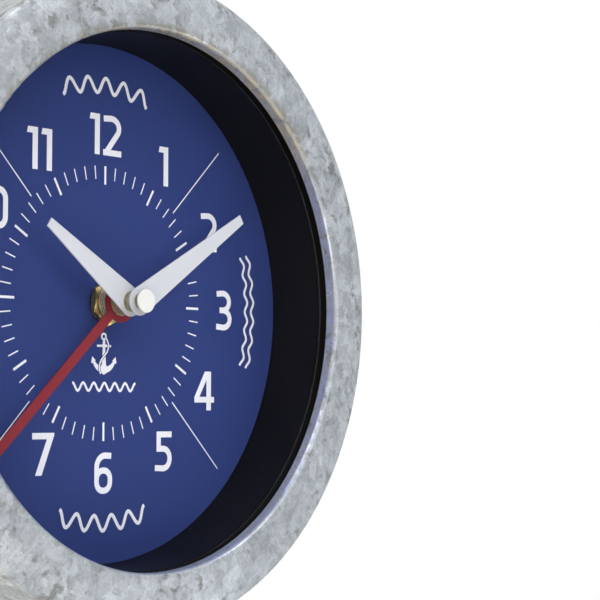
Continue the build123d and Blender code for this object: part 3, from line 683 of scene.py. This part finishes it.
def one():
    """Polygons and width of the 1: a stem with a flag."""
    stem_left = 2.5
    stem = box(stem_left, 4.8, 0, NUMERAL_HEIGHT)
    flag = [(0, BEAM_FOOT), (stem_left, BEAM_FOOT), (stem_left, NUMERAL_HEIGHT), (0.45, NUMERAL_HEIGHT)]
    return [stem, flag], 5.1


def two():
    """Polygons and width of the 2: a bowl that runs down to a foot."""
    middle = 9.7
    bowl = arc((3.9, middle), 3.75, LINE_TOP - middle, 100, -36)
    line = [(0.3, LINE_TOP - 0.3)] + bowl + [(1.5, LINE_FOOT)]
    foot = [(0.1, LINE_FOOT), (8.8, LINE_FOOT)]
    return drawn(line, foot), 8.8


def three():
    """Polygons and width of the 3: two open bowls that meet at a waist."""
    waist = (1.9, 7.05)
    upper_middle = (LINE_TOP + 0.3 + waist[1]) / 2
    lower_middle = (waist[1] + LINE_FOOT - 0.3) / 2
    upper_bowl = arc((3.6, upper_middle), 3.4, upper_middle - waist[1], 90, -90)
    lower_bowl = arc((3.8, lower_middle), 3.6, waist[1] - lower_middle, 90, -90)
    return drawn([(0.3, LINE_TOP)] + upper_bowl + [waist], [waist] + lower_bowl + [(0.1, LINE_FOOT)]), 8.6


def four():
    """Polygons and width of the 4: a stem, a crossbar and a slope."""
    width = 10.4
    stem_left = 6.35
    bar_top = 4.85
    stem = box(stem_left, 8.75, 0, NUMERAL_HEIGHT)
    crossbar = box(0, width, 2.8, bar_top)
    slope_top = [(stem_left, 11.0), (stem_left, NUMERAL_HEIGHT), (5.5, NUMERAL_HEIGHT)]
    return [stem, crossbar, [(0, 4.7), (2.6, bar_top)] + slope_top], width


def five():
    """Polygons and width of the 5: a beam and a neck over an open bowl."""
    neck = 1.95
    shoulder = 7.95
    middle = (shoulder + LINE_FOOT) / 2
    hook = [(8.45, LINE_TOP), (neck, LINE_TOP), (neck, shoulder - NUMERAL_STROKE / 2)]
    bowl = arc((4.2, middle), 3.3, shoulder - middle, 90, -90)
    return drawn(hook, [(neck, shoulder)] + bowl + [(0.1, LINE_FOOT + 0.2)]), 8.6


def six():
    """Polygons and width of the 6: a round bowl and a curved spine."""
    left = 1.2
    bowl = drawn(rounded_loop(left, 7.5, LINE_FOOT, 7.9, 2.9), closed=True)
    curve = arc((left + 4.0, LINE_TOP - 4.0), 4.0, 4.0, 80, 180, 10)
    return bowl + drawn([(8.0, LINE_TOP - 0.15)] + curve + [(left, 4.5)]), 8.7


def seven():
    """Polygons and width of the 7: a beam and a slanting leg."""
    width = 9.7
    joint = [(6.5, BEAM_FOOT), (8.0, NUMERAL_HEIGHT)]
    beam = [(0, BEAM_FOOT)] + joint + [(0, NUMERAL_HEIGHT)]
    leg = [(1.4, 0), (4.2, 0), (width, 13.2), (width, NUMERAL_HEIGHT)] + joint[::-1]
    return [beam, leg], width


def eight():
    """Polygons and width of the 8: a small loop on a larger one."""
    waist = 7.3
    upper = rounded_loop(1.4, 7.2, waist, LINE_TOP, 2.7)
    lower = rounded_loop(1.15, 7.45, LINE_FOOT, waist, 2.8)
    return drawn(upper, lower, closed=True), 8.6


def nine():
    """Polygons and width of the 9: the 6 turned upside down."""
    polygons, width = six()
    return [[(width - x, NUMERAL_HEIGHT - y) for x, y in polygon] for polygon in polygons], width


DIGITS = (zero(), one(), two(), three(), four(), five(), six(), seven(), eight(), nine())


def numeral(hour):
    """Polygons of an hour's number, upright at its place on the dial."""
    polygons = []
    reach = 0.0
    for sign in str(hour):
        shape, width = DIGITS[int(sign)]
        polygons += moved(shape, reach, 0)
        reach += width + NUMERAL_SPACE
    reach -= NUMERAL_SPACE
    across, up = on_clock(1.0, HOUR_ANGLE * hour)
    shift_x, shift_y = NUMERAL_SHIFT.get(hour, (0.0, 0.0))
    x = across * NUMERAL_REACH[0] + shift_x
    y = up * NUMERAL_REACH[1] + shift_y
    return moved(polygons, x - reach / 2, y - NUMERAL_HEIGHT / 2)


# Minute marks, by length and width, and the four thin lines between the tide quarters
MARK_OUTER_RADIUS = 47.0
MINUTE_ANGLE = 6
HOUR_MARK = (6.3, 0.85)
MINUTE_MARK = (4.5, 0.42)
QUARTER_INNER_RADIUS = 47.6
QUARTER_OUTER_RADIUS = 81.5
QUARTER_WIDTH = 0.4


def radial_mark(inner, outer, width, angle):
    """Straight mark along a radius."""
    return turned([box(-width / 2, width / 2, inner, outer)], angle)


def minute_marks():
    """Sixty marks, longer and wider on the hours."""
    polygons = []
    for minute in range(60):
        length, width = MINUTE_MARK if minute % 5 else HOUR_MARK
        inner = MARK_OUTER_RADIUS - length
        polygons += radial_mark(inner, MARK_OUTER_RADIUS, width, MINUTE_ANGLE * minute)
    return polygons


def quarter_lines():
    """Thin lines half way between the quarters of the tide."""
    polygons = []
    for angle in range(45, 360, 90):
        polygons += radial_mark(QUARTER_INNER_RADIUS, QUARTER_OUTER_RADIUS, QUARTER_WIDTH, angle)
    return polygons


# Wave signs at the quarters of the tide, and a small water line below the anchor
WAVE_RADIUS = 74.8
WAVE_HALF_ANGLE = 16.0
STEPS_PER_CREST = 16
TALL_WAVE = {"height": 5.2, "crests": 5, "width": 1.25}
LOW_RIPPLE = {"height": 1.5, "crests": 6, "width": 1.0}
RIPPLE_OFFSET = 1.7
WATER_LEFT = -14.6
WATER_LENGTH = 29.8
WATER_LEVEL = -28.6
WATER_LINE = {"height": 2.7, "crests": 6, "width": 0.85}


def wavy(place, height, crests, width):
    """Wavy line, by a function that places a share of its length and a swing."""
    steps = crests * STEPS_PER_CREST
    points = []
    for step in range(steps + 1):
        share = step / steps
        points.append(place(share, height / 2 * math.cos(2 * math.pi * crests * share)))
    return stroke(points, width)


def wave_sign(radius, angle, form):
    """Wavy line that follows a circle of the dial."""

    def place(share, swing):
        """Point on the sign, whose waves hang inwards first."""
        return on_clock(radius - swing, angle + WAVE_HALF_ANGLE * (2 * share - 1))

    return wavy(place, **form)


def tide_signs():
    """Tall waves for high water at twelve and six, low ripples for low water at three and nine."""
    polygons = []
    for angle in (0, 180):
        polygons += wave_sign(WAVE_RADIUS, angle, TALL_WAVE)
    for angle in (90, 270):
        polygons += wave_sign(WAVE_RADIUS + RIPPLE_OFFSET, angle, LOW_RIPPLE)
        polygons += wave_sign(WAVE_RADIUS - RIPPLE_OFFSET, angle, LOW_RIPPLE)
    return polygons


def water_line():
    """Small wavy line below the anchor."""

    def place(share, swing):
        """Point on the line."""
        return (WATER_LEFT + WATER_LENGTH * share, WATER_LEVEL + swing)

    return wavy(place, **WATER_LINE)


# Anchor with a rope round its shank: the right half of its outline, from the crown to the shank's top
ANCHOR_CROWN = (0.0, -24.5)
ARM_OUTER = ((0.0, -18.6), 5.5, 5.3, 285, 338, 8)
ANCHOR_FLUKE = [(6.0, -20.5), (5.5, -18.3), (3.9, -19.7), (4.45, -19.95)]
ARM_INNER = ((0.0, -18.9), 4.4, 2.9, 335, 288, 8)
ANCHOR_SHANK = [
    (0.95, -21.0), (0.6, -16.0), (0.6, -15.1), (1.5, -14.98), (3.2, -15.05),
    (3.4, -14.65), (3.2, -14.25), (1.5, -14.3), (0.6, -14.1), (0.5, -12.5),
]
ANCHOR_RING_CENTER = (-0.1, -11.45)
ANCHOR_RING_RADIUS = 0.98
ANCHOR_RING_WIDTH = 0.72
ANCHOR_RING_SIDES = 24
ROPE = [
    (0.8, -11.9), (1.5, -12.8), (2.0, -13.9), (2.05, -15.2), (1.5, -16.6), (0.1, -18.0),
    (-1.2, -19.3), (-1.9, -20.5), (-2.2, -21.7), (-2.05, -23.1), (-1.55, -24.2),
]
ROPE_WIDTH = 0.55
ROPE_EDGE = 0.25


def anchor():
    """Plain anchor with its ring."""
    half = arc(*ARM_OUTER) + ANCHOR_FLUKE + arc(*ARM_INNER) + ANCHOR_SHANK
    outline = [ANCHOR_CROWN] + half + [(-x, y) for x, y in reversed(half)]
    last = 360 - 360 / ANCHOR_RING_SIDES
    reach = ANCHOR_RING_RADIUS
    ring = arc(ANCHOR_RING_CENTER, reach, reach, 0, last, ANCHOR_RING_SIDES - 1)
    return [outline] + stroke(ring, ANCHOR_RING_WIDTH, closed=True)


PRINTING = {
    "dial_minute_marks": (minute_marks(), white_print, 0),
    "dial_quarter_lines": (quarter_lines(), white_print, 0),
    "dial_tide_waves": (tide_signs(), white_print, 0),
    "dial_water_line": (water_line(), white_print, 0),
    "dial_anchor": (anchor(), white_print, 0),
    "dial_anchor_rope_edge": (stroke(ROPE, ROPE_WIDTH + 2 * ROPE_EDGE), blue_dial, 1),
    "dial_anchor_rope": (stroke(ROPE, ROPE_WIDTH), white_print, 2),
}
for hour in range(1, 13):
    PRINTING[f"dial_numeral_{hour}"] = (numeral(hour), white_print, 0)
for name, (polygons, material, layer) in PRINTING.items():
    piece = print_on_dial(name, polygons, material, layer)
    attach(piece, "case")

# Thread of the hand post, from its nut almost to its end, in paler brass as painted light on its ridges
THREAD_NUT_GAP = 0.05
THREAD_END_GAP = 0.25
THREAD_START = front_level("bush_nut") + THREAD_NUT_GAP
THREAD_END = front_level("center_bush") - THREAD_END_GAP
THREAD_RADIUS = 5.9
THREAD_PITCH = 1.0
THREAD_DEPTH = 0.3
THREAD_SUNK = 0.12
THREAD_HALF_FOOT = 0.32
THREAD_HALF_CREST = 0.07
THREAD_SIDES = 48
RUN_OUT_STEPS = 10


def bush_thread():
    """Ridge of the thread, wound round the post and running out at both ends."""
    shape = bmesh.new()
    rows = []
    steps = int((THREAD_END - THREAD_START) / THREAD_PITCH * THREAD_SIDES)
    for step in range(steps + 1):
        angle = 2 * math.pi * step / THREAD_SIDES
        level = THREAD_START + THREAD_PITCH * step / THREAD_SIDES
        crest = THREAD_DEPTH * min(1.0, step / RUN_OUT_STEPS, (steps - step) / RUN_OUT_STEPS)
        profile = (
            (-THREAD_HALF_FOOT, -THREAD_SUNK),
            (-THREAD_HALF_CREST, crest),
            (THREAD_HALF_CREST, crest),
            (THREAD_HALF_FOOT, -THREAD_SUNK),
        )
        row = []
        for offset, reach in profile:
            radius = THREAD_RADIUS + reach
            x, y = radius * math.cos(angle), radius * math.sin(angle)
            row.append(shape.verts.new(mm(x, y, level + offset)))
        rows.append(row)
    for first, second in zip(rows, rows[1:]):
        for index in range(4):
            after = (index + 1) % 4
            shape.faces.new((first[index], first[after], second[after], second[index]))
    shape.faces.new(rows[0])
    shape.faces.new(rows[-1][::-1])
    return new_piece("bush_thread", shape, post_brass)


thread = bush_thread()
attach(thread, "case")

# Marks moulded on the movement's back: battery signs above the bay, and a turn arrow round each knob
CASE_BACK = back_level("movement_rear_case")
MARK_HEIGHT = 0.3
MARK_ROOT = 0.05
MARK_STROKE = 0.8
ARROW_GAP = 2.0
ARROW_START = 150
ARROW_END = 30
HEAD_LENGTH = 2.0
HEAD_HALF_WIDTH = 1.2
SIGN_RISE = 4.5
SIGN_INSET = 4.0
SIGN_ARM = 1.7


def turn_arrow(knob):
    """Arc with an arrow head round a setting knob, in the way that moves the hands forward."""
    left, right, foot, top = box_mm(knob)
    center = ((left + right) / 2, (foot + top) / 2)
    reach = (right - left) / 2 + ARROW_GAP
    line = arc(center, reach, reach, ARROW_START, ARROW_END)
    tip, before = Vector(line[-1]), Vector(line[-2])
    along = (tip - before).normalized()
    across = Vector((-along.y, along.x)) * HEAD_HALF_WIDTH
    head = [tuple(tip + across), tuple(tip - across), tuple(tip + along * HEAD_LENGTH)]
    return stroke(line, MARK_STROKE) + [head]


def battery_signs():
    """Plus and minus signs above the ends of the battery bay."""
    left, right, _, top = box_mm("battery")
    level = top + SIGN_RISE
    plus, minus = right - SIGN_INSET, left + SIGN_INSET
    lines = (
        [(plus - SIGN_ARM, level), (plus + SIGN_ARM, level)],
        [(plus, level - SIGN_ARM), (plus, level + SIGN_ARM)],
        [(minus - SIGN_ARM, level), (minus + SIGN_ARM, level)],
    )
    polygons = []
    for line in lines:
        polygons += stroke(line, MARK_STROKE)
    return polygons


MOULDED = {
    "time_turn_arrow": turn_arrow("time_setting_knob"),
    "tide_turn_arrow": turn_arrow("tide_setting_knob"),
    "battery_signs": battery_signs(),
}
for name, polygons in MOULDED.items():
    piece = prism(name, polygons, CASE_BACK - MARK_HEIGHT, CASE_BACK + MARK_ROOT, knob_plastic)
    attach(piece, "case")

# Stage: a round pale floor well below the clock, in a plain white room
FLOOR_LEVEL = -0.6
FLOOR_RADIUS = 1.6
FLOOR_SIDES = 64
WHITE = (1.0, 1.0, 1.0, 1.0)
PALE = (0.75, 0.75, 0.75, 1.0)
ROOM_WARM = (1.0, 0.9, 0.72, 1.0)
ROOM_COOL = (0.96, 0.98, 1.0, 1.0)
ROOM_LIGHT = (0.5, 0.56)
ROOM_RISE = (-0.6, 0.7)
ROOM_SLANT = 0.9
ROOM_SIDE = (-0.9, 0.3)


def pale_floor():
    """Round pale floor that isn't part of the clock."""
    paint, _, shader = plain_material("stage_paint")
    shader.inputs["Base Color"].default_value = PALE
    shader.inputs["Roughness"].default_value = 0.9
    mesh = bpy.data.meshes.new("floor")
    corners = []
    for step in range(FLOOR_SIDES):
        angle = 2 * math.pi * step / FLOOR_SIDES
        corners.append((FLOOR_RADIUS * math.cos(angle), FLOOR_RADIUS * math.sin(angle), FLOOR_LEVEL))
    mesh.from_pydata(corners, [], [list(range(FLOOR_SIDES))])
    mesh.materials.append(paint)
    disc = bpy.data.objects.new("floor", mesh)
    scene.collection.objects.link(disc)
    return disc


def studio_world():
    """White room: seen as plain white, and lighting the clock warm from the low left, else cool."""
    world = bpy.data.worlds.new("studio")
    world.use_nodes = True
    tree = world.node_tree
    room = tree.nodes["Background"]
    seen = add(tree, "ShaderNodeBackground", Color=WHITE, Strength=1.0)
    sides = split_place(tree, add(tree, "ShaderNodeTexCoord").outputs["Generated"])
    slant = arithmetic(tree, "MULTIPLY_ADD", sides["X"], ROOM_SLANT, sides["Z"])
    tint = blended(tree, spread(tree, slant, ROOM_SIDE), ROOM_WARM, ROOM_COOL)
    tree.links.new(tint, room.inputs["Color"])
    tree.links.new(spread(tree, sides["Z"], ROOM_RISE, ROOM_LIGHT), room.inputs["Strength"])
    rays = add(tree, "ShaderNodeLightPath")
    pick = add(tree, "ShaderNodeMixShader")
    tree.links.new(rays.outputs["Is Camera Ray"], pick.inputs["Fac"])
    tree.links.new(room.outputs[0], pick.inputs[1])
    tree.links.new(seen.outputs[0], pick.inputs[2])
    tree.links.new(pick.outputs[0], tree.nodes["World Output"].inputs["Surface"])
    return world


pale_floor()
scene.world = studio_world()

# Soft boxes that face the clock's back, or a point just behind it: place, size, power and colour
AIM = Vector((0, 0, 0))
AIM_BEHIND = Vector((0, 0.02, 0))


def soft_light(name, place, size, power, color, target=AIM):
    """Soft box, wide and tall, that faces a point."""
    data = bpy.data.lights.new(name, "AREA")
    data.shape = "RECTANGLE"
    data.size, data.size_y = size
    data.energy = power
    data.color = color
    lamp = bpy.data.objects.new(name, data)
    lamp.location = place
    lamp.rotation_euler = (target - Vector(place)).to_track_quat("-Z", "Y").to_euler()
    scene.collection.objects.link(lamp)


soft_light("key_box", (0.6, -1.0, 1.45), (0.7, 0.7), 4.6, (1.0, 0.99, 0.97))
soft_light("front_strip", (-0.25, -1.4, 0.4), (0.35, 1.2), 2.6, (1.0, 0.97, 0.9))
soft_light("upper_left_box", (-1.0, -0.8, 1.1), (0.9, 0.9), 5.0, (1.0, 0.99, 0.98))
soft_light("low_left_card", (-1.0, -0.7, -0.42), (0.8, 0.3), 3.6, (1.0, 0.92, 0.76))
soft_light("left_box", (-0.75, 0.3, 0.95), (1.0, 1.0), 4.2, (1.0, 0.84, 0.58), AIM_BEHIND)
soft_light("low_left_box", (-0.85, 0.3, -0.45), (0.9, 0.25), 2.8, (1.0, 0.86, 0.62), AIM_BEHIND)
soft_light("low_card", (0.6, -0.55, -0.52), (0.4, 0.4), 0.7, (0.97, 0.98, 1.0))

# Camera in front of the clock, to its left and a little below its middle, with its turn in degrees
CAMERA_PLACE = (-0.448426, -0.484503, -0.037177)
CAMERA_TURN = (93.4294, -0.071, -50.2197)
CAMERA_SENSOR = 36.0
CAMERA_LENS = 112.45
CAMERA_NEAR = 0.01

camera_data = bpy.data.cameras.new("photo_camera")
camera_data.sensor_width = CAMERA_SENSOR
camera_data.lens = CAMERA_LENS
camera_data.clip_start = CAMERA_NEAR
camera = bpy.data.objects.new("photo_camera", camera_data)
camera.location = CAMERA_PLACE
camera.rotation_euler = [math.radians(angle) for angle in CAMERA_TURN]
scene.collection.objects.link(camera)
scene.camera = camera
scene.view_settings.view_transform = "Standard"
